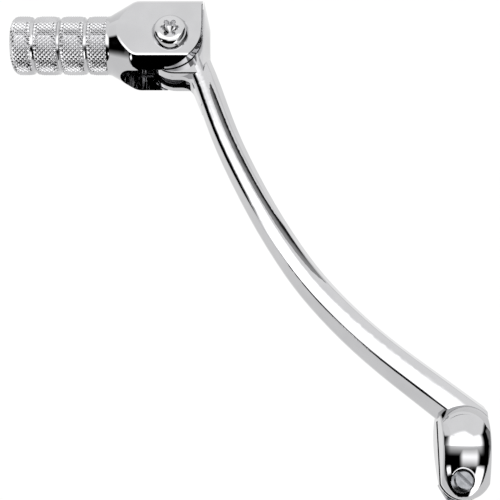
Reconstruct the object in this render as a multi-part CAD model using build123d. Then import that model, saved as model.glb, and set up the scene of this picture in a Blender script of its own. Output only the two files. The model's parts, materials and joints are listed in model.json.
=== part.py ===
from build123d import *
import os
from math import cos, radians, sin, tan

# Motorcycle gear shift lever with a folding toe peg.  All dimensions in millimetres.
# Origin: centre of the serrated bore that clamps on the shift shaft.
# +X runs inboard along the shift shaft, +Y forward, +Z up along the fold pivot.

# ---- shift shaft boss and pinch lug ----
BORE_TIP_R = 6.0
BORE_ROOT_R = 6.55
SERRATIONS = 24
SERRATION_LAND = 0.46
SERRATION_ROOT = 0.12
BORE_OVERCUT = 0.3
BOSS_R = 10.4
BOSS_RIM_R = 7.9
BOSS_EDGE_R = 1.0
BOSS_OUTBOARD_X = -5.7
BOSS_INBOARD_X = 6.9
BOSS_END_WALL = 1.2
FLANK_START = 14.0
FLANK_SWEEP = 60.0
FLANK_R = 24.0
PINCH_END_Y = -15.2
PINCH_PLAN_R = 6.9
PINCH_END_R = 1.2
PINCH_SLIT_FRONT_Y = 5.5
PINCH_GAP = 2.0
PINCH_AXIS_X = -0.7
PINCH_AXIS_Y = -10.7
PINCH_CLEARANCE_R = 3.2
PINCH_MOUTH_Z = 6.2
PINCH_MOUTH_R = 3.2
PINCH_SEAT_Z = -3.7
PINCH_SEAT_R = 5.0

# ---- M6 fasteners ----
M6_R = 3.0
M6_PITCH = 1.0
M6_THREAD_DEPTH = 0.55
M6_SHANK_R = 2.95
M6_HOLE_R = 3.02
THREAD_CREST = (0.15, 0.30)
THREAD_ROOT = (0.60, 0.75)
HEX_FLATS = 8.0
HEX_HEIGHT = 2.0
HEX_CORNER_CUT = 0.35
PINCH_BOLT_END_Z = 7.2
PINCH_THREAD_START_Z = 1.5
LOCK_WASHER_OUTER_R = 4.2
LOCK_WASHER_INNER_R = 3.1
LOCK_WASHER_THICKNESS = 1.0
LOCK_WASHER_GAP = 0.9
LOCK_WASHER_GAP_TILT = 20.0
SCREW_SLOT_WIDTH = 1.3
SCREW_SLOT_DEPTH = 1.8
SCREW_SLOT_ANGLE = -45.0
SCREW_END_CHAMFER = 0.6

# ---- arm stem: plan centreline from the lug down to the boss ----
STEM_CENTRES = [
    (-71.3, 112.2),
    (-67.3, 101.6),
    (-63.2, 89.5),
    (-58.4, 78.1),
    (-53.1, 67.2),
    (-47.4, 56.9),
    (-41.2, 47.2),
    (-34.2, 38.3),
    (-26.6, 30.3),
    (-18.6, 23.0),
    (-10.3, 16.3),
    (-2.5, 10.1),
    (4.0, 4.9),
    (9.0, 0.9),
]
STEM_SECTIONS = 15
STEM_WIDTH_TOP = 7.8
STEM_WIDTH_BOSS = 11.0
STEM_FLARE = 1.9
STEM_HEIGHT_TOP = 12.4
STEM_HEIGHT_BOSS = 11.0
STEM_CROWN_TOP = 1.35
STEM_CROWN_BOSS = 0.3
STEM_CROWN_RANGE = (0.30, 0.68)
STEM_DRAFT_INSIDE_TOP = 0.4
STEM_DRAFT_INSIDE_BOSS = 2.9
STEM_DRAFT_GROWTH = 1.6
STEM_DRAFT_OUTSIDE = 1.9
STEM_PARTING_BAND = 0.6
STEM_EDGE_R = 0.8

# ---- lug, shoulder and spring pocket at the upper end of the arm ----
PEG_AXIS_Y = 117.4
PIVOT_X = -78.5
PIVOT_Y = 116.1
LUG_HALF_HEIGHT = 6.0
LUG_LEFT_X = -85.0
LUG_RIGHT_X = -68.8
LUG_REAR_Y = 105.4
LUG_FRONT_Y = 126.4
LUG_REAR_CORNER_R = 7.6
LUG_FRONT_CORNER_R = 2.0
LUG_EDGE_CHAMFER = 0.3
LUG_BORE_R = 3.75
SHOULDER_FACE_X = -69.0
SHOULDER_RIM_R = 13.0
SHOULDER_CROWN_X = -67.2
SHOULDER_CROWN_R = 4.5
SHOULDER_BLEND_R = 6.0
POCKET_TOP_Z = 1.7
POCKET_BOTTOM_Z = -3.5
POCKET_R = 5.45
POCKET_REACH = 20.0
CROTCH_R = 4.2
CROTCH_CORNER = (-73.0, LUG_REAR_Y)
CROTCH_STEM_SIDE = ((-69.6, 96.6), (-66.0, 97.8))
CROTCH_OVERLAP = 3.0
CROTCH_HALF_HEIGHT = 3.9

# ---- toe peg ----
PEG_END_X = -126.0
PEG_R = 8.65
PEG_END_R = 2.4
PEG_ROOT_X = -96.9
RING_GROOVE_X = (-119.1, -111.5, -103.6)
RING_GROOVE_R = 0.55
HEAD_R = 13.1
HEAD_LIMITS_Y = (PEG_AXIS_Y - 2 * HEAD_R, PEG_AXIS_Y + 2 * HEAD_R)
HEAD_BLEND_R = 5.0
PEG_ROOT_BLEND_R = 2.0
CONE_ANGLE = 30.0
HEAD_END_X = -69.3
HEAD_HALF_FLAT = 10.3
SLOT_HALF_HEIGHT = 6.55
SLOT_FRONT_X = -85.7
SLOT_DEEP_X = -87.2
SLOT_DEEP_FRONT_Y = 125.0
EAR_ARC_X = -80.2
EAR_ARC_R = 10.8
EAR_HOLE_R = 3.2
SPOTFACE_R = 5.5
SPOTFACE_DEPTH = 0.3
EAR_EDGE_CHAMFER = 0.3

# ---- pivot stack ----
BUTTON_HEAD_R = 5.25
BUTTON_HEAD_HEIGHT = 3.3
BUTTON_RIM_HEIGHT = 0.7
BUTTON_TOP_R = 3.1
LOBE_CIRCLE_R = 2.05
LOBE_R = 0.72
LOBE_CORE_R = 1.95
LOBE_DEPTH = 2.3
LOBE_DRILL_DEPTH = 1.3
PIVOT_SCREW_END_Z = -17.1
PIVOT_THREAD_TOP_Z = -6.6
BUSHING_R = 3.7
BUSHING_BORE_R = 3.05
BUSHING_HALF_LENGTH = 6.5
THRUST_WASHER_R = 6.2
THRUST_WASHER_BORE_R = 3.8
THRUST_WASHER_THICKNESS = 0.5
NUT_FLATS = 10.0
NUT_HEX_HEIGHT = 4.4
NUT_HEIGHT = 6.0
NUT_COLLAR_R = 4.5
NUT_CORNER_CUT = 0.5
INSERT_OUTER_R = 4.0
INSERT_HEIGHT = 1.3
INSERT_LIP = 0.3

# ---- return spring ----
WIRE_R = 0.7
COIL_R = 4.6
COIL_PITCH = 1.5
COIL_TURNS = 2.25
COIL_START_Z = -2.65
ARM_LEG_END_Y = 107.2
PEG_LEG_END_X = -96.2
PEG_LEG_HOLE_R = 0.85
PEG_LEG_HOLE_END_X = -96.8

PIVOT = Pos(PIVOT_X, PIVOT_Y, 0)
PINCH = Pos(PINCH_AXIS_X, PINCH_AXIS_Y, 0)
PEG_AXIS = Axis((0, PEG_AXIS_Y, 0), (1, 0, 0))


def tube(outer_r, inner_r, bottom_z, top_z):
    """Ring standing on the Z axis between two heights."""
    middle = Pos(0, 0, (bottom_z + top_z) / 2)
    height = top_z - bottom_z
    return middle * Cylinder(outer_r, height) - middle * Cylinder(inner_r, height)


def post(radius, bottom_z, top_z):
    """Solid cylinder standing on the Z axis between two heights."""
    return Pos(0, 0, (bottom_z + top_z) / 2) * Cylinder(radius, top_z - bottom_z)


def block(x_range, y_range, z_range):
    """Box given by its limits along the three axes."""
    size = [high - low for low, high in (x_range, y_range, z_range)]
    centre = [(high + low) / 2 for low, high in (x_range, y_range, z_range)]
    return Pos(*centre) * Box(*size)


def turned_z(points):
    """Turn a closed (radius, height) outline about the Z axis."""
    outline = Polyline(*[(radius, 0, height) for radius, height in points], close=True)
    return revolve(make_face(outline), Axis.Z)


def threaded_shank(top_z, thread_top_z, end_z):
    """M6 shank pointing down: plain neck, ring-grooved thread and a chamfered end."""
    outline = [(0, top_z), (M6_SHANK_R, top_z), (M6_SHANK_R, thread_top_z)]
    turns = int((thread_top_z - end_z - SCREW_END_CHAMFER) / M6_PITCH)
    for turn in range(turns):
        crest_z = thread_top_z - turn * M6_PITCH
        for part in THREAD_CREST:
            outline.append((M6_R, crest_z - part * M6_PITCH))
        for part in THREAD_ROOT:
            outline.append((M6_R - M6_THREAD_DEPTH, crest_z - part * M6_PITCH))
    outline.append((M6_R - M6_THREAD_DEPTH, end_z + SCREW_END_CHAMFER / 2))
    outline.append((M6_R - M6_THREAD_DEPTH - SCREW_END_CHAMFER / 2, end_z))
    outline.append((0, end_z))
    return turned_z(outline)


def between(start, stop, share):
    """Value a share of the way from start to stop."""
    return start + (stop - start) * share


def stem_section(spine, fraction):
    """Forged bar section square to the centreline: crowned faces and drafted flanks."""
    tangent = spine % fraction
    across = Vector(-tangent.Y, tangent.X, 0)
    plane = Plane(origin=spine @ fraction, x_dir=across, z_dir=tangent)
    half_w = between(STEM_WIDTH_TOP, STEM_WIDTH_BOSS, fraction**STEM_FLARE) / 2
    half_h = between(STEM_HEIGHT_TOP, STEM_HEIGHT_BOSS, fraction) / 2
    start, stop = STEM_CROWN_RANGE
    fade = min(max((fraction - start) / (stop - start), 0), 1)
    shoulder_z = half_h - between(STEM_CROWN_TOP, STEM_CROWN_BOSS, fade)
    growth = fraction**STEM_DRAFT_GROWTH
    draft = between(STEM_DRAFT_INSIDE_TOP, STEM_DRAFT_INSIDE_BOSS, growth)
    inside = -half_w + draft
    outside = half_w - STEM_DRAFT_OUTSIDE
    crown = (inside + outside) / 2
    outline = Line((half_w, -STEM_PARTING_BAND), (half_w, STEM_PARTING_BAND))
    outline += Line((half_w, STEM_PARTING_BAND), (outside, shoulder_z))
    outline += ThreePointArc((outside, shoulder_z), (crown, half_h), (inside, shoulder_z))
    outline += Line((inside, shoulder_z), (-half_w, STEM_PARTING_BAND))
    outline += Line((-half_w, STEM_PARTING_BAND), (-half_w, -STEM_PARTING_BAND))
    outline += Line((-half_w, -STEM_PARTING_BAND), (inside, -shoulder_z))
    outline += ThreePointArc((inside, -shoulder_z), (crown, -half_h), (outside, -shoulder_z))
    outline += Line((outside, -shoulder_z), (half_w, -STEM_PARTING_BAND))
    face = make_face(outline)
    return plane * fillet(face.vertices(), STEM_EDGE_R)


def stem():
    """Curved bar between the lug and the boss."""
    spine = Spline(*[Vector(x, y, 0) for x, y in STEM_CENTRES])
    fractions = [index / (STEM_SECTIONS - 1) for index in range(STEM_SECTIONS)]
    bar = loft([stem_section(spine, fraction) for fraction in fractions])
    return bar & block((LUG_LEFT_X, BOSS_INBOARD_X), (-BOSS_R, LUG_FRONT_Y), (-BOSS_R, BOSS_R))


def boss_section():
    """Half section of the boss along the shaft: crowned, with rounded rims."""
    middle = (BOSS_OUTBOARD_X + BOSS_INBOARD_X) / 2
    outboard_rim = (BOSS_OUTBOARD_X, BOSS_RIM_R)
    inboard_rim = (BOSS_INBOARD_X, BOSS_RIM_R)
    outline = Line((BOSS_OUTBOARD_X, 0), outboard_rim)
    outline += ThreePointArc(outboard_rim, (middle, BOSS_R), inboard_rim)
    outline += Line(inboard_rim, (BOSS_INBOARD_X, 0))
    outline += Line((BOSS_INBOARD_X, 0), (BOSS_OUTBOARD_X, 0))
    section = make_face(outline)
    return fillet(section.vertices().group_by(Axis.Y)[-1], BOSS_EDGE_R)


def clamp_end():
    """Crowned boss whose upper and lower flanks fall towards the rounded pinch lug."""
    section = boss_section()
    offset = FLANK_R - BOSS_R
    start = radians(FLANK_START)
    flank_axis = Axis((0, offset * sin(start), -offset * cos(start)), (1, 0, 0))
    flank = revolve(Rot(90 + FLANK_START, 0, 0) * section, flank_axis, FLANK_SWEEP)
    middle = (BOSS_OUTBOARD_X + BOSS_INBOARD_X) / 2
    round_y = PINCH_END_Y + PINCH_PLAN_R
    length = 2 * BOSS_R - round_y
    plan = Pos(middle, round_y + length / 2) * Rectangle(2 * PINCH_PLAN_R, length)
    plan += Pos(middle, round_y) * Circle(PINCH_PLAN_R)
    upper = (revolve(section, Axis.X) + flank) & extrude(plan, amount=2 * BOSS_R)
    rims = upper.edges().filter_by(
        lambda edge: edge.center().Z > PINCH_GAP and edge.center().Y < PINCH_AXIS_Y
    )
    upper = fillet(rims, PINCH_END_R)
    return upper + mirror(upper, about=Plane.XY)


def serrated_bore():
    """Cutting tool for the serrated shaft bore: round lands with tapered grooves between."""
    pitch = 360 / SERRATIONS
    half_mouth = (1 - SERRATION_LAND) / 2 * pitch
    half_root = SERRATION_ROOT / 2 * pitch
    corners = [
        (-half_mouth, BORE_TIP_R - BORE_OVERCUT),
        (-half_mouth, BORE_TIP_R),
        (-half_root, BORE_ROOT_R),
        (half_root, BORE_ROOT_R),
        (half_mouth, BORE_TIP_R),
        (half_mouth, BORE_TIP_R - BORE_OVERCUT),
    ]
    depth = 2 * (BOSS_INBOARD_X - BOSS_OUTBOARD_X)
    blind = Pos(BOSS_OUTBOARD_X + BOSS_END_WALL, 0, 0)
    cutter = Rot(0, 90, 0) * Pos(0, 0, depth / 2) * Cylinder(BORE_TIP_R, depth)
    for index in range(SERRATIONS):
        middle = 90 + (index + 0.5) * pitch
        points = [
            (0, radius * cos(radians(middle + turn)), radius * sin(radians(middle + turn)))
            for turn, radius in corners
        ]
        groove = make_face(Polyline(*points, close=True))
        cutter += extrude(groove, amount=depth, dir=(1, 0, 0))
    return blind * cutter


def shoulder():
    """Low cone that caps the round head and stops the peg at its riding position."""
    outline = make_face(
        Polyline(
            (SHOULDER_FACE_X, PEG_AXIS_Y),
            (SHOULDER_FACE_X, PEG_AXIS_Y + SHOULDER_RIM_R),
            (SHOULDER_CROWN_X, PEG_AXIS_Y + SHOULDER_CROWN_R),
            (SHOULDER_CROWN_X, PEG_AXIS_Y),
            close=True,
        )
    )
    crown = outline.vertices().sort_by_distance(
        (SHOULDER_CROWN_X, PEG_AXIS_Y + SHOULDER_CROWN_R, 0)
    )[0]
    cap = revolve(fillet(crown, SHOULDER_BLEND_R), PEG_AXIS)
    return cap & block((LUG_LEFT_X, 0), HEAD_LIMITS_Y, (-HEAD_HALF_FLAT, HEAD_HALF_FLAT))


def lug():
    """Flat tongue that sits between the two ears of the toe peg."""
    plan = make_face(
        Polyline(
            (LUG_LEFT_X, LUG_REAR_Y),
            (LUG_RIGHT_X, LUG_REAR_Y),
            (LUG_RIGHT_X, LUG_FRONT_Y),
            (LUG_LEFT_X, LUG_FRONT_Y),
            close=True,
        )
    )
    left = plan.vertices().group_by(Axis.X)[0].sort_by(Axis.Y)
    plan = fillet(left[0], LUG_REAR_CORNER_R)
    front_left = plan.vertices().group_by(Axis.X)[0].sort_by(Axis.Y)[-1]
    plan = fillet(front_left, LUG_FRONT_CORNER_R)
    tongue = extrude(plan, amount=LUG_HALF_HEIGHT, both=True)
    rims = tongue.edges().filter_by(
        lambda edge: abs(abs(edge.center().Z) - LUG_HALF_HEIGHT) < 0.01
        and edge.center().X < SHOULDER_FACE_X
    )
    return chamfer(rims, LUG_EDGE_CHAMFER)


def crotch_web():
    """Rounded inside corner between the rear of the lug and the stem."""
    overlap_y = LUG_REAR_Y + CROTCH_OVERLAP
    plan = make_face(
        Polyline(
            (PIVOT_X, LUG_REAR_Y),
            CROTCH_CORNER,
            *CROTCH_STEM_SIDE,
            (LUG_RIGHT_X, overlap_y),
            (PIVOT_X, overlap_y),
            close=True,
        )
    )
    inside = plan.vertices().sort_by_distance((*CROTCH_CORNER, 0))[0]
    return extrude(fillet(inside, CROTCH_R), amount=CROTCH_HALF_HEIGHT, both=True)


def spring_pocket():
    """Room for the coil, open to the rear and to the outboard side."""
    height = (POCKET_BOTTOM_Z, POCKET_TOP_Z)
    coil_room = PIVOT * post(POCKET_R, *height)
    rear = block(
        (PIVOT_X - POCKET_REACH, PIVOT_X + POCKET_R), (PIVOT_Y - POCKET_REACH, PIVOT_Y), height
    )
    outboard = block(
        (PIVOT_X - POCKET_REACH, PIVOT_X), (PIVOT_Y - POCKET_R, PIVOT_Y + POCKET_R), height
    )
    return coil_room + rear + outboard


def pinch_slit():
    """Slit that lets the boss close on the shaft, cut through its closed end as well."""
    height = (-PINCH_GAP / 2, PINCH_GAP / 2)
    rear_y = 2 * PINCH_END_Y
    whole = block((2 * BOSS_OUTBOARD_X, 2 * BOSS_INBOARD_X), (rear_y, -BORE_TIP_R / 2), height)
    inner_x = BOSS_OUTBOARD_X + BOSS_END_WALL
    return whole + block((2 * BOSS_OUTBOARD_X, inner_x), (rear_y, PINCH_SLIT_FRONT_Y), height)


def lever_arm():
    """Forged arm: boss, pinch lug, stem, lug and shoulder in one piece."""
    body = clamp_end() + stem() + lug() + crotch_web() + shoulder()
    body -= serrated_bore()
    body -= pinch_slit()
    body -= PINCH * post(M6_HOLE_R, 0, BOSS_R)
    body -= PINCH * post(PINCH_MOUTH_R, PINCH_MOUTH_Z, BOSS_R)
    body -= PINCH * post(PINCH_CLEARANCE_R, -BOSS_R, 0)
    body -= PINCH * post(PINCH_SEAT_R, -BOSS_R, PINCH_SEAT_Z)
    body -= spring_pocket()
    body -= PIVOT * post(LUG_BORE_R, -LUG_HALF_HEIGHT - 1, LUG_HALF_HEIGHT + 1)
    return body


def hexagon_blank(flats, bottom_z, top_z, corner_cut):
    """Hexagonal prism on the Z axis with its corners turned off at both ends."""
    corner_r = flats / 2 / cos(radians(30))
    prism = Pos(0, 0, bottom_z) * extrude(RegularPolygon(corner_r, 6), amount=top_z - bottom_z)
    envelope = turned_z(
        [
            (0, top_z),
            (corner_r - corner_cut, top_z),
            (corner_r, top_z - corner_cut / 2),
            (corner_r, bottom_z + corner_cut / 2),
            (corner_r - corner_cut, bottom_z),
            (0, bottom_z),
        ]
    )
    return prism & envelope


def pinch_bolt():
    """Low hexagon screw from below; its slotted end shows above the pinch lug."""
    seat_z = PINCH_SEAT_Z - LOCK_WASHER_THICKNESS
    head = hexagon_blank(HEX_FLATS, seat_z - HEX_HEIGHT, seat_z, HEX_CORNER_CUT)
    shank = Rot(180, 0, 0) * threaded_shank(-seat_z, -PINCH_THREAD_START_Z, -PINCH_BOLT_END_Z)
    slot = Rot(0, 0, SCREW_SLOT_ANGLE) * block(
        (-HEX_FLATS, HEX_FLATS),
        (-SCREW_SLOT_WIDTH / 2, SCREW_SLOT_WIDTH / 2),
        (PINCH_BOLT_END_Z - SCREW_SLOT_DEPTH, 2 * PINCH_BOLT_END_Z),
    )
    return PINCH * (head + shank - slot)


def pinch_lock_washer():
    """Split spring washer under the head of the pinch bolt."""
    top_z = PINCH_SEAT_Z
    bottom_z = top_z - LOCK_WASHER_THICKNESS
    ring = tube(LOCK_WASHER_OUTER_R, LOCK_WASHER_INNER_R, bottom_z, top_z)
    middle = Pos(0, -LOCK_WASHER_OUTER_R / 2 - 1, (top_z + bottom_z) / 2)
    cut = Box(LOCK_WASHER_GAP, LOCK_WASHER_OUTER_R, 3 * LOCK_WASHER_THICKNESS)
    return PINCH * (ring - middle * Rot(0, LOCK_WASHER_GAP_TILT, 0) * cut)


def peg_blank():
    """Turned peg: grooved grip, cone and round head with two flats."""
    cone_length = (HEAD_R - PEG_R) / tan(radians(CONE_ANGLE))
    outline = make_face(
        Polyline(
            (PEG_END_X, PEG_AXIS_Y),
            (PEG_END_X, PEG_AXIS_Y + PEG_R),
            (PEG_ROOT_X, PEG_AXIS_Y + PEG_R),
            (PEG_ROOT_X + cone_length, PEG_AXIS_Y + HEAD_R),
            (HEAD_END_X, PEG_AXIS_Y + HEAD_R),
            (HEAD_END_X, PEG_AXIS_Y),
            close=True,
        )
    )
    nose = outline.vertices().group_by(Axis.X)[0].sort_by(Axis.Y)[-1]
    outline = fillet(nose, PEG_END_R)
    brow_x = PEG_ROOT_X + cone_length
    brow = outline.vertices().sort_by_distance((brow_x, PEG_AXIS_Y + HEAD_R, 0))[0]
    outline = fillet(brow, HEAD_BLEND_R)
    root = outline.vertices().sort_by_distance((PEG_ROOT_X, PEG_AXIS_Y + PEG_R, 0))[0]
    outline = fillet(root, PEG_ROOT_BLEND_R)
    for groove_x in RING_GROOVE_X:
        outline -= Pos(groove_x, PEG_AXIS_Y + PEG_R) * Circle(RING_GROOVE_R)
    blank = revolve(outline, PEG_AXIS)
    return blank & block((2 * PEG_END_X, 0), HEAD_LIMITS_Y, (-HEAD_HALF_FLAT, HEAD_HALF_FLAT))


def peg_slot():
    """Slot between the ears; its closed end is milled round from the rear side."""
    height = (-SLOT_HALF_HEIGHT, SLOT_HALF_HEIGHT)
    rear_y, front_y = HEAD_LIMITS_Y
    slot = block((SLOT_FRONT_X, HEAD_END_X + 1), (rear_y, front_y), height)
    slot += block((SLOT_DEEP_X, SLOT_FRONT_X), (rear_y, SLOT_DEEP_FRONT_Y), height)
    depth = SLOT_DEEP_FRONT_Y - rear_y
    middle = Pos(SLOT_DEEP_X, rear_y + depth / 2, 0)
    end = middle * Rot(90, 0, 0) * Cylinder(SLOT_HALF_HEIGHT, depth)
    return slot + end


def ear_corner():
    """Material removed so the ears swing past the shoulder of the arm."""
    sweep = block(
        (EAR_ARC_X, HEAD_END_X + 1), (HEAD_LIMITS_Y[0], PEG_AXIS_Y), (-HEAD_R, HEAD_R)
    )
    round_end = Pos(EAR_ARC_X, PEG_AXIS_Y, 0) * Cylinder(EAR_ARC_R, 3 * HEAD_HALF_FLAT)
    return sweep - round_end


def toe_peg():
    """Folding peg with two ears around the lug of the arm."""
    peg = peg_blank() - peg_slot() - ear_corner()
    rims = peg.edges().filter_by(
        lambda edge: abs(abs(edge.center().Z) - HEAD_HALF_FLAT) < 0.001
    )
    peg = chamfer(rims, EAR_EDGE_CHAMFER)
    peg -= PIVOT * post(EAR_HOLE_R, -HEAD_R, HEAD_R)
    peg -= PIVOT * post(SPOTFACE_R, HEAD_HALF_FLAT - SPOTFACE_DEPTH, HEAD_R)
    coil_top_z = COIL_START_Z + COIL_TURNS * COIL_PITCH
    hole_length = SLOT_DEEP_X - PEG_LEG_HOLE_END_X
    hole_x = (SLOT_DEEP_X + PEG_LEG_HOLE_END_X) / 2
    hole = Pos(hole_x, PIVOT_Y + COIL_R, coil_top_z) * Rot(0, 90, 0)
    return peg - hole * Cylinder(PEG_LEG_HOLE_R, hole_length)


def pivot_screw():
    """Button head screw through both ears, six-lobe drive."""
    seat_z = HEAD_HALF_FLAT - SPOTFACE_DEPTH
    rim_z = seat_z + BUTTON_RIM_HEIGHT
    top_z = seat_z + BUTTON_HEAD_HEIGHT
    outline = Line((0, 0, seat_z), (BUTTON_HEAD_R, 0, seat_z))
    outline += Line((BUTTON_HEAD_R, 0, seat_z), (BUTTON_HEAD_R, 0, rim_z))
    outline += Spline(
        (BUTTON_HEAD_R, 0, rim_z),
        (BUTTON_TOP_R, 0, top_z),
        tangents=((-0.25, 0, 1), (-1, 0, 0.12)),
    )
    outline += Line((BUTTON_TOP_R, 0, top_z), (0, 0, top_z))
    outline += Line((0, 0, top_z), (0, 0, seat_z))
    head = revolve(make_face(outline), Axis.Z)
    socket = Circle(LOBE_CORE_R)
    for lobe in PolarLocations(LOBE_CIRCLE_R, 6):
        socket += lobe * Circle(LOBE_R)
    head -= Pos(0, 0, top_z - LOBE_DEPTH) * extrude(socket, amount=LOBE_DEPTH)
    drill_z = top_z - LOBE_DEPTH - LOBE_DRILL_DEPTH / 2
    head -= Pos(0, 0, drill_z) * Cone(0, LOBE_CORE_R, LOBE_DRILL_DEPTH)
    return PIVOT * (head + threaded_shank(seat_z, PIVOT_THREAD_TOP_Z, PIVOT_SCREW_END_Z))


def pivot_locknut():
    """Hexagon lock nut with a collar that holds the nylon ring."""
    top_z = -HEAD_HALF_FLAT
    hex_bottom_z = top_z - NUT_HEX_HEIGHT
    collar_bottom_z = top_z - NUT_HEIGHT
    collar = post(NUT_COLLAR_R, collar_bottom_z, hex_bottom_z)
    nut = hexagon_blank(NUT_FLATS, hex_bottom_z, top_z, NUT_CORNER_CUT) + collar
    nut -= post(M6_HOLE_R, collar_bottom_z - 1, top_z + 1)
    nut -= insert_blank()
    return PIVOT * nut


def insert_blank():
    """Ring groove filled by the nylon insert, above the rolled lip of the collar."""
    bottom_z = -HEAD_HALF_FLAT - NUT_HEIGHT + INSERT_LIP
    return post(INSERT_OUTER_R, bottom_z, bottom_z + INSERT_HEIGHT)


def locknut_insert():
    """Nylon ring that grips the thread."""
    return PIVOT * (insert_blank() - post(M6_HOLE_R, PIVOT_SCREW_END_Z, 0))


def pivot_bushing():
    """Sleeve clamped between the ears; the lug turns on it."""
    return PIVOT * tube(BUSHING_R, BUSHING_BORE_R, -BUSHING_HALF_LENGTH, BUSHING_HALF_LENGTH)


def thrust_washer(bottom_z):
    """Thin bearing washer between the lug and an ear."""
    top_z = bottom_z + THRUST_WASHER_THICKNESS
    return PIVOT * tube(THRUST_WASHER_R, THRUST_WASHER_BORE_R, bottom_z, top_z)


def return_spring():
    """Torsion spring: one leg along the pocket wall of the arm, one in the peg."""
    coil_rise = COIL_TURNS * COIL_PITCH
    helix = PIVOT * Pos(0, 0, COIL_START_Z) * Helix(COIL_PITCH, coil_rise, COIL_R)
    start = helix @ 0
    end = helix @ 1
    arm_leg = Line((start.X, ARM_LEG_END_Y, start.Z), start)
    peg_leg = Line(end, (PEG_LEG_END_X, end.Y, end.Z))
    profile = Plane(origin=arm_leg @ 0, z_dir=arm_leg % 0) * Circle(WIRE_R)
    legs_and_coil = Wire([arm_leg.edge(), helix.edge(), peg_leg.edge()])
    return sweep(profile, path=legs_and_coil, transition=Transition.TRANSFORMED)


NODES = {
    "lever_arm": lever_arm(),
    "pinch_bolt": pinch_bolt(),
    "pinch_lock_washer": pinch_lock_washer(),
    "toe_peg": toe_peg(),
    "pivot_screw": pivot_screw(),
    "pivot_locknut": pivot_locknut(),
    "locknut_insert": locknut_insert(),
    "pivot_bushing": pivot_bushing(),
    "upper_thrust_washer": thrust_washer(LUG_HALF_HEIGHT),
    "lower_thrust_washer": thrust_washer(-LUG_HALF_HEIGHT - THRUST_WASHER_THICKNESS),
    "return_spring": return_spring(),
}

os.makedirs("parts", exist_ok=True)
for name, shape in NODES.items():
    export_step(shape, f"parts/{name}.step")
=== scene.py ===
import json
import math

import bpy
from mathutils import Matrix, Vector


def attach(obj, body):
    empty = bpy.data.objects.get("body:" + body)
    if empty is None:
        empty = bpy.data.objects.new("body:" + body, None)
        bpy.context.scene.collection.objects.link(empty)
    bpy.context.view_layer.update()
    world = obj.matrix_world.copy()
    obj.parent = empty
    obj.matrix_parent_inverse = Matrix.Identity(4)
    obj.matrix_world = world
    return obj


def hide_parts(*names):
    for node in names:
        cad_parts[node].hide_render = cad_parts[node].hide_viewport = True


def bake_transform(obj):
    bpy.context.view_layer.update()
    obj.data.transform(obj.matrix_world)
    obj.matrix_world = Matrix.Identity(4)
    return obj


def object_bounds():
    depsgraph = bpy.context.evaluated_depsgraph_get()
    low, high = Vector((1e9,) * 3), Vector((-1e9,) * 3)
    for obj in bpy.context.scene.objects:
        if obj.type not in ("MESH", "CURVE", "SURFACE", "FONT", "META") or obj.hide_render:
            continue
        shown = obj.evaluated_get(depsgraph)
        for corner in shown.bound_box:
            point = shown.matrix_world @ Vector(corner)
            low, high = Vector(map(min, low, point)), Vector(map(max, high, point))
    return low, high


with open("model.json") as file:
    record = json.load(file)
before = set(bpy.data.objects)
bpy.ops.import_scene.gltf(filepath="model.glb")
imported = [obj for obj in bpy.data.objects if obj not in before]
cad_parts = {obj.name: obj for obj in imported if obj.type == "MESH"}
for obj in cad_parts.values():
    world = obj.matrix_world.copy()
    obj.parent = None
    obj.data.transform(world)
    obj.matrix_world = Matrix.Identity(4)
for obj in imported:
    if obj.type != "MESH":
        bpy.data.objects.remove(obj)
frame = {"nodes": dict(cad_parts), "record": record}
cad_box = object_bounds()

MM = 0.001
PLAIN = (1, 1, 1)
WHITE = (1.0, 1.0, 1.0, 1.0)

# camera, in metres and millimetres of lens, tilted off the plane of the lever
CAMERA_TILT = math.radians(18.0)
CAMERA_AIM = Vector((-0.0555, 0.0535, 0.0))
CAMERA_DISTANCE = 0.308
CAMERA_SENSOR = 36.0
CAMERA_LENS = 79.2
CAMERA_CLIP = 0.01

# floor, in metres
FLOOR_HALF = 3.0
FLOOR_GAP = 0.012
FLOOR_COLOUR = (0.03, 0.03, 0.03, 1.0)
FLOOR_GLOW = 0.985

# black card, in millimetres: it lies in z = FLAG_BASE + FLAG_SLOPE * y
FLAG_BASE = 10.0
FLAG_SLOPE = 0.18
FLAG_OUTLINE = (
    (-65, 112),
    (-60.8, 101.3),
    (-55.3, 88.5),
    (-48.8, 76.9),
    (-41.5, 66.6),
    (-33.3, 58.1),
    (-20.8, 54.2),
    (-7.6, 68.5),
    (21.4, 117),
    (75, 190),
    (80, 222),
    (30, 172),
    (-12, 150),
    (-44, 131),
)
FLAG_COLOUR = (0.02, 0.02, 0.02, 1.0)
# the card glows along its edge nearest the stem, where x + 0.7 y in millimetres is small
FLAG_FADE_AXIS = (1000.0, 700.0, 0.0)
FLAG_FADE = (10.0, 50.0, 0.45, 0.0)

# light, in parts of the direction seen from the camera: side is to the right, ahead is up
# the picture and yaw is the angle from the camera's own direction towards the right.
# Four numbers are a fade: from low to high, the value goes from the third to the fourth.
TENT_ARCH = 0.5
TENT_SLANT = 0.35
TENT_TOP = (0.56, 0.72, 2.3, 1.20)
TENT_LEFT = (-0.75, -0.40, 1.15, 2.3)
TENT_RIM = (0.80, 1.60, 0.28, 0.50)
TENT_EDGE = (0.0, 0.12, 0.0, 1.0)
# yaw from and to, ahead from and to, softness of the edges, strength
SOFT_BOXES = (
    (-1.0, 0.98, -0.09, 0.46, 0.17, 2.4),
    (-1.15, -0.92, -0.56, -0.44, 0.04, 2.6),
    (0.70, 1.20, -0.95, -0.44, 0.07, 2.6),
    (-0.25, 0.74, -0.38, -0.15, 0.13, 2.0),
    (1.45, 3.30, -2.00, 0.40, 0.04, 0.32),
    (-1.95, -1.30, -0.80, -0.14, 0.10, 1.05),
)

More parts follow.
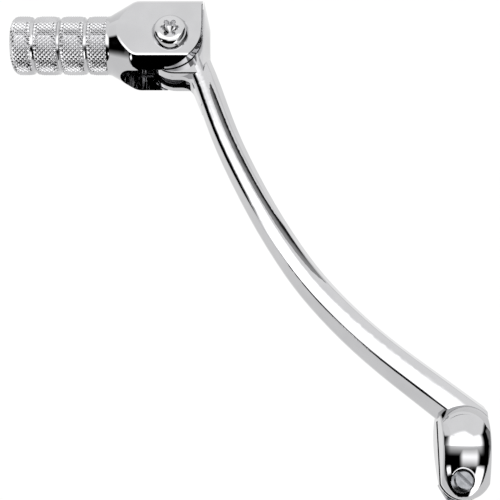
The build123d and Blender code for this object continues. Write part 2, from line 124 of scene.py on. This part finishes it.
# finishes: noise scales in features per metre
HAZE_SCALE = 90.0
WIPE_SCALE = 700.0
WIPE_STRETCH = (1, 6, 1)
WAVE_SCALE = 160.0
STAIN_SCALE = 420.0
TURNING_STRETCH = (0.04, 0.04, 1)
MOTTLE_SCALE = 900.0
NOISE_ROUGHNESS = 0.5
BUMP_STRENGTH = 1.0
MICRON = 0.000001
CHROME = (0.50, 0.50, 0.51)

# toe peg, in millimetres: the CAD faces beyond HEAD_FROM_X are the head, HEAD_RING deep at
# their rim, and everything with GRIP, BAND, KNURL or BORE in its name is the sleeve
PIVOT = (-78.5, 116.1)
PEG_AXIS_Y = 117.4
PEG_R = 8.65
GRIP_FROM_X = -97.52
GRIP_TO_X = -126.0
HEAD_FROM_X = -97.48
HEAD_RING = 0.08
GRIP_END_R = 2.4
CORE_R = 7.2
CORE_FROM_X = GRIP_FROM_X - 0.02
BORE_R = 7.28
BORE_END_X = -124.8
CORE_END_X = BORE_END_X + 0.3
WELD_DIGITS = 4
RING_GROOVES = (-119.1, -111.5, -103.6)
RING_GROOVE_R = 0.55
BAND_RELIEF = 0.22
BAND_GAP = 0.2
BAND_FADE = 1.3
SHOULDER_GAP = 0.6
KNURL_STARTS = 42
KNURL_DEPTH = 0.36
KNURL_CREST = 0.85
KNURL_STEPS = 4
KNURL_RUNOUT = (-0.3, 0.25)

# return spring, in millimetres
WIRE_R = 0.7
COIL_R = 4.6
COIL_PITCH = 1.5
COIL_TURNS = 2.25
COIL_START_Z = -2.65
ARM_LEG_END_Y = 107.2
PEG_LEG_END_X = -96.2
TURN_STEPS = 40
ARM_LEG_STEPS = 6
PEG_LEG_STEPS = 8
WIRE_SIDES = 20


# ---------------------------------------------------------------- node helpers
def new_tree(name):
    material = bpy.data.materials.new(name)
    material.use_nodes = True
    tree = material.node_tree
    tree.nodes.clear()
    out = tree.nodes.new("ShaderNodeOutputMaterial")
    shader = tree.nodes.new("ShaderNodeBsdfPrincipled")
    tree.links.new(shader.outputs["BSDF"], out.inputs["Surface"])
    return material, tree, shader


def object_coordinates(tree, scale):
    coord = tree.nodes.new("ShaderNodeTexCoord")
    mapping = tree.nodes.new("ShaderNodeMapping")
    mapping.inputs["Scale"].default_value = scale
    tree.links.new(coord.outputs["Object"], mapping.inputs["Vector"])
    return mapping.outputs["Vector"]


def noise(tree, vector, scale, detail):
    node = tree.nodes.new("ShaderNodeTexNoise")
    node.inputs["Scale"].default_value = scale
    node.inputs["Detail"].default_value = detail
    node.inputs["Roughness"].default_value = NOISE_ROUGHNESS
    tree.links.new(vector, node.inputs["Vector"])
    return node.outputs["Fac"]


def remap(tree, value, low, high, new_low, new_high):
    """Smooth fade: new_low below low, new_high above high."""
    node = tree.nodes.new("ShaderNodeMapRange")
    node.interpolation_type = "SMOOTHSTEP"
    node.inputs["From Min"].default_value = low
    node.inputs["From Max"].default_value = high
    node.inputs["To Min"].default_value = new_low
    node.inputs["To Max"].default_value = new_high
    tree.links.new(value, node.inputs["Value"])
    return node.outputs["Result"]


def math_node(tree, operation, a, b):
    """Either side is a socket or a float."""
    node = tree.nodes.new("ShaderNodeMath")
    node.operation = operation
    for socket, value in zip(node.inputs, (a, b)):
        if isinstance(value, float):
            socket.default_value = value
        else:
            tree.links.new(value, socket)
    return node.outputs["Value"]


def ramp(tree, value, low_colour, high_colour):
    node = tree.nodes.new("ShaderNodeValToRGB")
    node.color_ramp.elements[0].color = (*low_colour, 1.0)
    node.color_ramp.elements[1].color = (*high_colour, 1.0)
    tree.links.new(value, node.inputs["Fac"])
    return node.outputs["Color"]


def bump(tree, shader, height, distance):
    node = tree.nodes.new("ShaderNodeBump")
    node.inputs["Distance"].default_value = distance
    node.inputs["Strength"].default_value = BUMP_STRENGTH
    tree.links.new(height, node.inputs["Height"])
    tree.links.new(node.outputs["Normal"], shader.inputs["Normal"])


def direction_part(tree, vector, axis):
    """Length of the vector along the axis."""
    node = tree.nodes.new("ShaderNodeVectorMath")
    node.operation = "DOT_PRODUCT"
    tree.links.new(vector, node.inputs[0])
    node.inputs[1].default_value = axis
    return node.outputs["Value"]


def between(tree, value, low, high, soft):
    """1 where low < value < high, with soft edges."""
    rise = remap(tree, value, low - soft, low + soft, 0.0, 1.0)
    fall = remap(tree, value, high - soft, high + soft, 1.0, 0.0)
    return math_node(tree, "MULTIPLY", rise, fall)


# ---------------------------------------------------------------- finishes
def plated(name, dark, light, rough, wave):
    """Polished plating: hazy patches, fine wipe marks, rubbed edges and a faint waviness."""
    material, tree, shader = new_tree(name)
    shader.inputs["Metallic"].default_value = 1.0
    even = object_coordinates(tree, PLAIN)
    haze = noise(tree, even, HAZE_SCALE, 4.0)
    wiped = noise(tree, object_coordinates(tree, WIPE_STRETCH), WIPE_SCALE, 2.0)
    geometry = tree.nodes.new("ShaderNodeNewGeometry")
    edge = remap(tree, geometry.outputs["Pointiness"], 0.52, 0.60, 0.0, 0.10)
    shade = remap(tree, haze, 0.35, 0.65, 0.0, 0.9)
    colour = ramp(tree, math_node(tree, "ADD", shade, edge), dark, light)
    tree.links.new(colour, shader.inputs["Base Color"])
    patches = remap(tree, haze, 0.4, 0.7, rough[0], rough[1])
    marks = remap(tree, wiped, 0.6, 0.75, 0.0, (rough[1] - rough[0]) * 0.8)
    tree.links.new(math_node(tree, "ADD", patches, marks), shader.inputs["Roughness"])
    bump(tree, shader, noise(tree, even, WAVE_SCALE, 1.0), wave)
    return material


def turned(name, dark, light, rough, line_scale, depth):
    """Machined or drawn steel: fine lines around the Z axis and slight staining."""
    material, tree, shader = new_tree(name)
    shader.inputs["Metallic"].default_value = 1.0
    stain = noise(tree, object_coordinates(tree, PLAIN), STAIN_SCALE, 4.0)
    lines = noise(tree, object_coordinates(tree, TURNING_STRETCH), line_scale, 2.0)
    colour = ramp(tree, remap(tree, stain, 0.3, 0.7, 0.0, 1.0), dark, light)
    tree.links.new(colour, shader.inputs["Base Color"])
    base = remap(tree, stain, 0.3, 0.7, rough[0], rough[1])
    extra = remap(tree, lines, 0.4, 0.7, 0.0, 0.08)
    tree.links.new(math_node(tree, "ADD", base, extra), shader.inputs["Roughness"])
    bump(tree, shader, lines, depth)
    return material


def moulded(name, dark, light):
    """Nylon: soft, slightly mottled and waxy."""
    material, tree, shader = new_tree(name)
    shader.inputs["Subsurface Weight"].default_value = 0.15
    shader.inputs["Subsurface Radius"].default_value = (0.0006, 0.0006, 0.0008)
    mottle = noise(tree, object_coordinates(tree, PLAIN), MOTTLE_SCALE, 3.0)
    tree.links.new(ramp(tree, mottle, dark, light), shader.inputs["Base Color"])
    tree.links.new(remap(tree, mottle, 0.3, 0.7, 0.38, 0.52), shader.inputs["Roughness"])
    bump(tree, shader, mottle, 10 * MICRON)
    return material


FINISHES = {
    "chromed_arm": plated(
        "arm_chrome", CHROME, (0.54, 0.54, 0.55), (0.015, 0.05), 4 * MICRON
    ),
    "chromed_peg": plated(
        "peg_chrome", CHROME, (0.54, 0.54, 0.55), (0.02, 0.06), 3 * MICRON
    ),
    "chromed_screw": plated(
        "screw_chrome", CHROME, (0.57, 0.57, 0.58), (0.03, 0.09), 3 * MICRON
    ),
    "bolt_steel": turned(
        "bolt_zinc",
        dark=(0.16, 0.165, 0.175),
        light=(0.26, 0.265, 0.28),
        rough=(0.12, 0.24),
        line_scale=1500.0,
        depth=12 * MICRON,
    ),
    "bushing_steel": turned(
        "ground_steel",
        dark=(0.38, 0.38, 0.38),
        light=(0.52, 0.52, 0.51),
        rough=(0.16, 0.26),
        line_scale=3000.0,
        depth=6 * MICRON,
    ),
    "spring_steel": turned(
        "drawn_wire",
        dark=(0.22, 0.22, 0.23),
        light=(0.38, 0.38, 0.39),
        rough=(0.22, 0.34),
        line_scale=5000.0,
        depth=5 * MICRON,
    ),
    "nylon": moulded("nylon_insert", (0.30, 0.36, 0.50), (0.42, 0.48, 0.60)),
}
KNURL_CHROME = plated("knurl_chrome", CHROME, (0.60, 0.60, 0.61), (0.08, 0.18), 6 * MICRON)

for part in frame["record"]["subparts"]:
    node = frame["nodes"][part["node"]]
    node.data.materials.clear()
    node.data.materials.append(FINISHES[part["material_slot"]])


# ---------------------------------------------------------------- toe peg
def smooth_step(value, low, high):
    t = min(max((value - low) / (high - low), 0.0), 1.0)
    return t * t * (3 - 2 * t)


def toe_head():
    """The forged head of the peg, closed by a plain core that carries the knurled sleeve."""
    source = frame["nodes"]["toe_peg"].data
    vertices, faces, normals, welded = [], [], [], {}

    def weld(point):
        key = tuple(round(value / MM, WELD_DIGITS) for value in point)
        if key not in welded:
            welded[key] = len(vertices)
            vertices.append(point.copy())
        return welded[key]

    for polygon in source.polygons:
        corners = [source.vertices[index].co for index in polygon.vertices]
        if min(corner.x for corner in corners) > HEAD_FROM_X * MM:
            faces.append([weld(corner) for corner in corners])
            for loop in polygon.loop_indices:
                normals.append(source.corner_normals[loop].vector.copy())

    def around_axis(point):
        return math.atan2(point.z, point.y - PEG_AXIS_Y * MM)

    edge = [point for point in vertices if point.x < (HEAD_FROM_X + HEAD_RING) * MM]
    edge.sort(key=around_axis)
    angles = [around_axis(point) for point in edge]
    loops = [[weld(point) for point in edge]]
    for x in (CORE_FROM_X, CORE_END_X):
        loop = []
        for angle in angles:
            y, z = PEG_AXIS_Y + CORE_R * math.cos(angle), CORE_R * math.sin(angle)
            loop.append(weld(Vector((x, y, z)) * MM))
        loops.append(loop)
    count = len(angles)
    core = []
    for near, far in zip(loops, loops[1:]):
        for i in range(count):
            k = (i + 1) % count
            core.append((near[i], far[i], far[k], near[k]))
    tip = weld(Vector((CORE_END_X, PEG_AXIS_Y, 0.0)) * MM)
    for i in range(count):
        core.append((loops[-1][i], tip, loops[-1][(i + 1) % count]))
    for face in core:
        one, two, three = (vertices[index] for index in face[:3])
        normal = (two - one).cross(three - one).normalized()
        faces.append(face)
        normals += [normal] * len(face)
    mesh = bpy.data.meshes.new("toe_head")
    mesh.from_pydata(vertices, [], faces)
    mesh.polygons.foreach_set("use_smooth", [True] * len(faces))
    mesh.normals_split_custom_set(normals)
    chrome = FINISHES["chromed_peg"]
    finish_piece("toe_head", mesh, chrome, "tip", "toe_peg")


def grip_radius(x, height):
    """Radius of the knurled grip at x, where height goes from 0 in a groove to 1 on a crest."""
    off = min(abs(x - groove) for groove in RING_GROOVES)
    from_edge = min(
        off - RING_GROOVE_R - BAND_GAP, x - GRIP_TO_X, GRIP_FROM_X - x + SHOULDER_GAP
    )
    radius = PEG_R - BAND_RELIEF * (1 - smooth_step(from_edge, 0.0, BAND_FADE))
    if off < RING_GROOVE_R:
        radius -= math.sqrt(RING_GROOVE_R**2 - off**2)
    corner = GRIP_END_R - (x - GRIP_TO_X)
    if corner > 0.0:
        radius -= GRIP_END_R - math.sqrt(max(GRIP_END_R**2 - corner**2, 0.0))
    cut = KNURL_DEPTH * smooth_step(from_edge, *KNURL_RUNOUT)
    return radius - cut * (1 - height)


def knurl_height(i, j):
    """Height of the diamond pattern at a grid point: the nearer of the two crossing grooves."""
    distances = []
    for phase in ((i + j) % KNURL_STEPS, (i - j) % KNURL_STEPS):
        distances.append(min(phase, KNURL_STEPS - phase))
    return min(min(distances) / (KNURL_STEPS / 2), KNURL_CREST) / KNURL_CREST


def toe_grip():
    """Knurled sleeve: diamond pyramids cut by two crossing families of grooves."""
    around = KNURL_STARTS * KNURL_STEPS
    pitch = 2 * math.pi * PEG_R / KNURL_STARTS
    along = round((GRIP_FROM_X - GRIP_TO_X) / (pitch / KNURL_STEPS))
    step = (GRIP_FROM_X - GRIP_TO_X) / along
    vertices, faces = [], []

    def ring(x, radii):
        first = len(vertices)
        for i in range(around):
            angle = 2 * math.pi * i / around
            y, z = PEG_AXIS_Y + radii[i] * math.cos(angle), radii[i] * math.sin(angle)
            vertices.append(Vector((x, y, z)) * MM)
        return first

    def stitch(a, b, cut):
        """Faces from ring a to ring b. With cut given, quads split along the grooves."""
        for i in range(around):
            k = (i + 1) % around
            corners = (a + i, b + i, b + k, a + k)
            if cut is not None and (i + cut + 1) % KNURL_STEPS == 0:
                faces.append((corners[1], corners[2], corners[3]))
                faces.append((corners[1], corners[3], corners[0]))
            elif cut is not None:
                faces.append((corners[0], corners[1], corners[2]))
                faces.append((corners[0], corners[2], corners[3]))
            else:
                faces.append(corners)

    def cap(first, tip_x, forward):
        centre = len(vertices)
        vertices.append(Vector((tip_x, PEG_AXIS_Y, 0.0)) * MM)
        for i in range(around):
            pair = (first + i, first + (i + 1) % around)
            faces.append((*reversed(pair), centre) if forward else (*pair, centre))

    rings = []
    for j in range(along + 1):
        x = GRIP_FROM_X - step * j
        radii = [grip_radius(x, knurl_height(i, j)) for i in range(around)]
        rings.append(ring(x, radii))
    for j in range(along):
        stitch(rings[j], rings[j + 1], j)
    cap(rings[-1], GRIP_TO_X, True)
    mouth = ring(GRIP_FROM_X, [BORE_R] * around)
    bottom = ring(BORE_END_X, [BORE_R] * around)
    stitch(mouth, rings[0], None)
    stitch(bottom, mouth, None)
    cap(bottom, BORE_END_X, False)
    mesh = bpy.data.meshes.new("toe_grip")
    mesh.from_pydata(vertices, [], faces)
    mesh.validate()
    finish_piece("toe_grip", mesh, KNURL_CHROME, "tip", "toe_peg")


# ---------------------------------------------------------------- return spring
def spring_path():
    """Centreline of the torsion spring: arm leg, coil, peg leg."""
    points = []
    for index in range(ARM_LEG_STEPS):
        y = ARM_LEG_END_Y + (PIVOT[1] - ARM_LEG_END_Y) * index / ARM_LEG_STEPS
        points.append(Vector((PIVOT[0] + COIL_R, y, COIL_START_Z)))
    for index in range(round(COIL_TURNS * TURN_STEPS) + 1):
        angle = 2 * math.pi * index / TURN_STEPS
        x, y = PIVOT[0] + COIL_R * math.cos(angle), PIVOT[1] + COIL_R * math.sin(angle)
        points.append(Vector((x, y, COIL_START_Z + COIL_PITCH * index / TURN_STEPS)))
    end = points[-1]
    for index in range(1, PEG_LEG_STEPS + 1):
        x = end.x + (PEG_LEG_END_X - end.x) * index / PEG_LEG_STEPS
        points.append(Vector((x, end.y, end.z)))
    return points


def return_spring():
    """Round wire swept along the spring path, with flat ends."""
    path = spring_path()
    vertices, faces = [], []
    for index, point in enumerate(path):
        before, after = path[max(index - 1, 0)], path[min(index + 1, len(path) - 1)]
        tangent = (after - before).normalized()
        across = tangent.cross(Vector((0, 0, 1))).normalized()
        upward = across.cross(tangent)
        for k in range(WIRE_SIDES):
            angle = 2 * math.pi * k / WIRE_SIDES
            outward = across * math.cos(angle) + upward * math.sin(angle)
            vertices.append((point + outward * WIRE_R) * MM)
    for index in range(len(path) - 1):
        for k in range(WIRE_SIDES):
            a, b = index * WIRE_SIDES + k, index * WIRE_SIDES + (k + 1) % WIRE_SIDES
            faces.append((a, a + WIRE_SIDES, b + WIRE_SIDES, b))
    faces.append(tuple(range(WIRE_SIDES)))
    last = (len(path) - 1) * WIRE_SIDES
    faces.append(tuple(reversed(range(last, last + WIRE_SIDES))))
    mesh = bpy.data.meshes.new("spring_wire")
    mesh.from_pydata(vertices, [], faces)
    mesh.polygons.foreach_set("use_smooth", [len(face) == 4 for face in faces])
    obj = bpy.data.objects.new("spring_wire", mesh)
    bpy.context.scene.collection.objects.link(obj)
    mesh.materials.append(FINISHES["spring_steel"])
    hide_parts("return_spring")
    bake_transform(obj)


def finish_piece(name, mesh, material, body, node):
    """Put a piece of the toe peg in the scene on its body, in place of the CAD node."""
    obj = bpy.data.objects.new(name, mesh)
    bpy.context.scene.collection.objects.link(obj)
    mesh.materials.clear()
    mesh.materials.append(material)
    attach(obj, body)
    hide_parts(node)


toe_head()
toe_grip()
return_spring()


# ---------------------------------------------------------------- studio
def floor():
    """White floor a little below the lowest point."""
    mesh = bpy.data.meshes.new("floor")
    half, z = FLOOR_HALF, cad_box[0][2] - FLOOR_GAP
    corners = [(-half, -half, z), (half, -half, z), (half, half, z), (-half, half, z)]
    mesh.from_pydata(corners, [], [(0, 1, 2, 3)])
    obj = bpy.data.objects.new("floor", mesh)
    bpy.context.scene.collection.objects.link(obj)
    material, _, shader = new_tree("floor_white")
    shader.inputs["Base Color"].default_value = FLOOR_COLOUR
    shader.inputs["Roughness"].default_value = 1.0
    shader.inputs["Specular IOR Level"].default_value = 0.0
    shader.inputs["Emission Color"].default_value = WHITE
    shader.inputs["Emission Strength"].default_value = FLOOR_GLOW
    mesh.materials.append(material)


def flag():
    """Black card above the stem, unseen by the camera, that draws the dark stripe along it."""
    mesh = bpy.data.meshes.new("flag")
    corners = [Vector((x, y, FLAG_BASE + FLAG_SLOPE * y)) * MM for x, y in FLAG_OUTLINE]
    mesh.from_pydata(corners, [], [range(len(corners))])
    obj = bpy.data.objects.new("flag", mesh)
    bpy.context.scene.collection.objects.link(obj)
    material, tree, shader = new_tree("flag_black")
    shader.inputs["Base Color"].default_value = FLAG_COLOUR
    shader.inputs["Roughness"].default_value = 1.0
    shader.inputs["Specular IOR Level"].default_value = 0.0
    shader.inputs["Emission Color"].default_value = WHITE
    across = direction_part(tree, object_coordinates(tree, PLAIN), FLAG_FADE_AXIS)
    tree.links.new(remap(tree, across, *FLAG_FADE), shader.inputs["Emission Strength"])
    mesh.materials.append(material)
    obj.visible_camera = False
    obj.visible_diffuse = False
    obj.visible_shadow = False


def patch(tree, across, along, limits, soft, strength):
    """Rectangular light: limits are (across low, across high, along low, along high)."""
    one = between(tree, across, limits[0], limits[1], soft)
    two = between(tree, along, limits[2], limits[3], soft)
    return math_node(tree, "MULTIPLY", math_node(tree, "MULTIPLY", one, two), strength)


def studio():
    """World light: a tent beyond the lever, a dark room on the near side and soft boxes."""
    world = bpy.data.worlds.new("studio")
    bpy.context.scene.world = world
    world.use_nodes = True
    tree = world.node_tree
    tree.nodes.clear()
    coord = tree.nodes.new("ShaderNodeTexCoord")
    direction = coord.outputs["Generated"]
    sin_t, cos_t = math.sin(CAMERA_TILT), math.cos(CAMERA_TILT)
    side = direction_part(tree, direction, (1, 0, 0))
    ahead = direction_part(tree, direction, (0, cos_t, sin_t))
    towards = direction_part(tree, direction, (0, -sin_t, cos_t))
    yaw = math_node(tree, "ARCTAN2", side, towards)
    squared = math_node(tree, "MULTIPLY", side, side)
    arch = math_node(tree, "MULTIPLY", squared, TENT_ARCH)
    right = math_node(tree, "MAXIMUM", side, 0.0)
    slant = math_node(tree, "MULTIPLY", right, TENT_SLANT)
    lifted = math_node(tree, "ADD", math_node(tree, "ADD", ahead, arch), slant)
    top, left = remap(tree, lifted, *TENT_TOP), remap(tree, side, *TENT_LEFT)
    gradient = math_node(tree, "MINIMUM", top, left)
    rim = remap(tree, yaw, *TENT_RIM)
    inside = remap(tree, math_node(tree, "SUBTRACT", ahead, rim), *TENT_EDGE)
    light = math_node(tree, "MULTIPLY", inside, gradient)
    for *limits, soft, strength in SOFT_BOXES:
        box = patch(tree, yaw, ahead, limits, soft, strength)
        light = math_node(tree, "MAXIMUM", light, box)
    path = tree.nodes.new("ShaderNodeLightPath")
    seen = math_node(tree, "MAXIMUM", light, path.outputs["Is Camera Ray"])
    background = tree.nodes.new("ShaderNodeBackground")
    background.inputs["Color"].default_value = WHITE
    tree.links.new(seen, background.inputs["Strength"])
    out = tree.nodes.new("ShaderNodeOutputWorld")
    tree.links.new(background.outputs["Background"], out.inputs["Surface"])


def camera():
    data = bpy.data.cameras.new("camera")
    data.sensor_width = CAMERA_SENSOR
    data.lens = CAMERA_LENS
    data.clip_start = CAMERA_CLIP
    obj = bpy.data.objects.new("camera", data)
    bpy.context.scene.collection.objects.link(obj)
    back = Vector((0.0, -math.sin(CAMERA_TILT), math.cos(CAMERA_TILT)))
    obj.location = CAMERA_AIM + back * CAMERA_DISTANCE
    obj.rotation_euler = (-back).to_track_quat("-Z", "Y").to_euler()
    bpy.context.scene.camera = obj


floor()
flag()
studio()
camera()
bpy.context.scene.view_settings.view_transform = "Standard"
